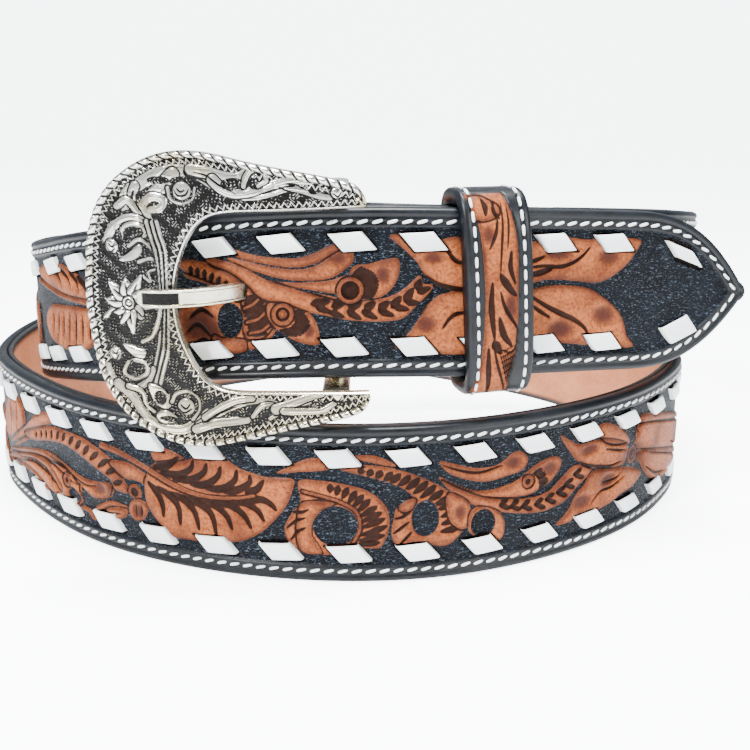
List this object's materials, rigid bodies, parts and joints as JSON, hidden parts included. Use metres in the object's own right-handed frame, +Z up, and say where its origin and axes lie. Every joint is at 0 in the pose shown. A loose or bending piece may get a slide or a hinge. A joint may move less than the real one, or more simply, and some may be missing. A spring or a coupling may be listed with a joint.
{
  "type": "western leather belt, buckled and wound",
  "caption": "Tooled western leather belt with laced edges and an engraved cast buckle, fastened and wound in a ring, lying on its lower edge.",
  "frame": {"origin": "centre of the wound belt's footprint, on the surface it lies on", "axes": "+X along the ring's long way, to the right as one faces the buckle; +Y from the buckle towards the back of the ring; +Z up"},
  "size_m": [0.2084, 0.1376, 0.0993],
  "materials": {
    "tooled_leather": "carved, stained tan on a black textured ground, waxed",
    "lining_leather": "smooth natural tan",
    "lace": "smooth white",
    "silver_cast": "antique silver plate on cast alloy, blackened in the recesses"
  },
  "bodies": {
    "root": {"strap": "tooled_leather", "lining": "lining_leather", "lace_upper": "lace", "lace_lower": "lace", "keeper": "tooled_leather", "buckle": "silver_cast", "prong": "silver_cast"}
  },
  "joints": []
}
